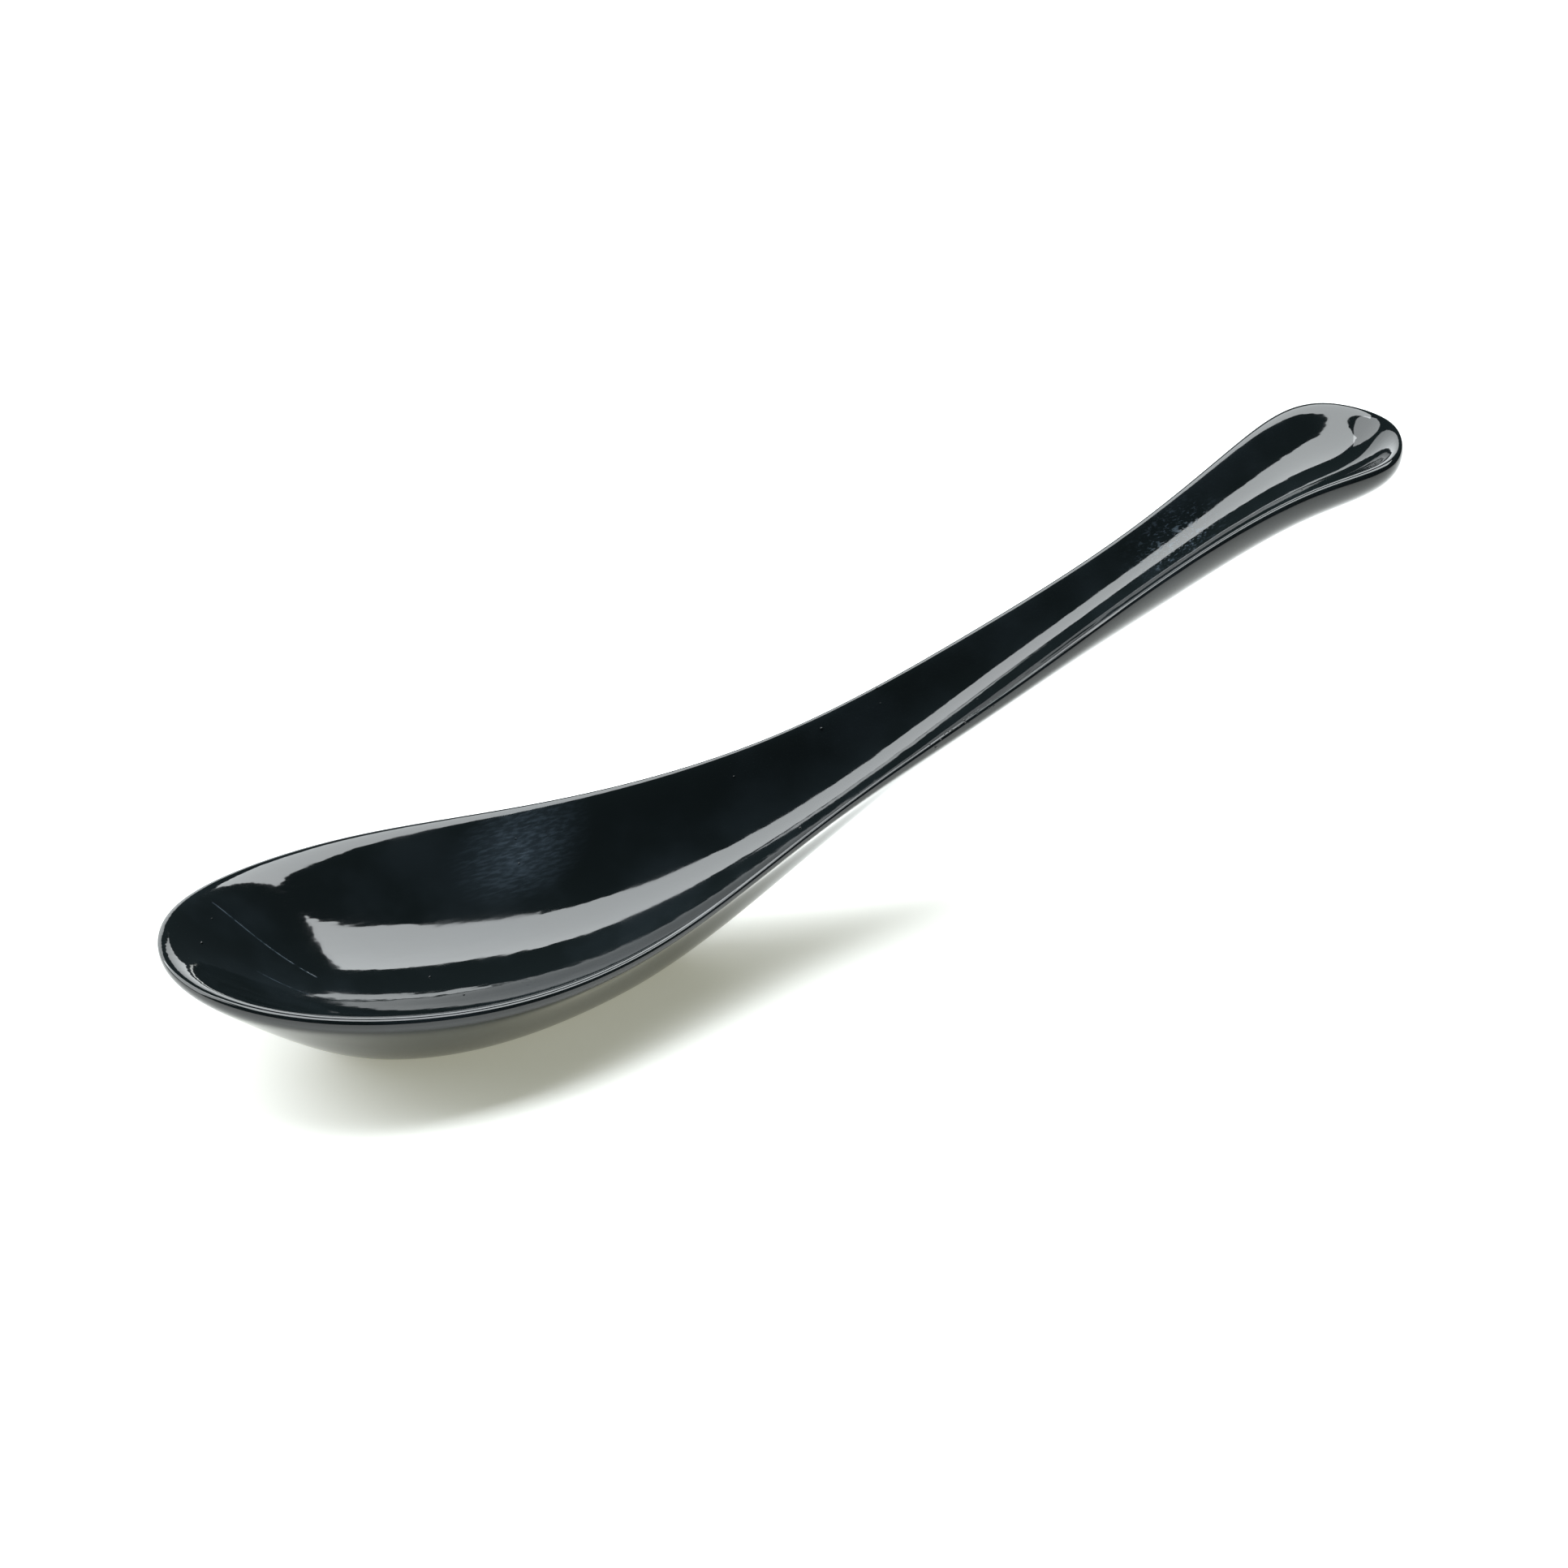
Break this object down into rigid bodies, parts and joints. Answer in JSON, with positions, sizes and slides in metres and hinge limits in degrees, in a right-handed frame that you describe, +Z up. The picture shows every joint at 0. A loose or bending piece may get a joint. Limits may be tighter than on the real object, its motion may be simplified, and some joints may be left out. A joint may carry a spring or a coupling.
{
  "type": "soup spoon",
  "caption": "Deep flat-footed soup spoon with an egg-shaped bowl, a troughed rising neck and a round dished thumb rest, under one closed gloss black coat.",
  "frame": {"origin": "middle of the flat foot under the bowl, on the table", "axes": "+X along the spoon from the bowl towards the end of the handle, +Y across it to the left, +Z up from the table"},
  "size_m": [0.172, 0.045, 0.0514],
  "materials": {
    "wood": "carved and sanded, sealed inside the coat",
    "lacquer": "high-gloss black lacquer"
  },
  "bodies": {
    "root": {"wooden_core": "wood", "black_coat": "lacquer"}
  },
  "joints": []
}
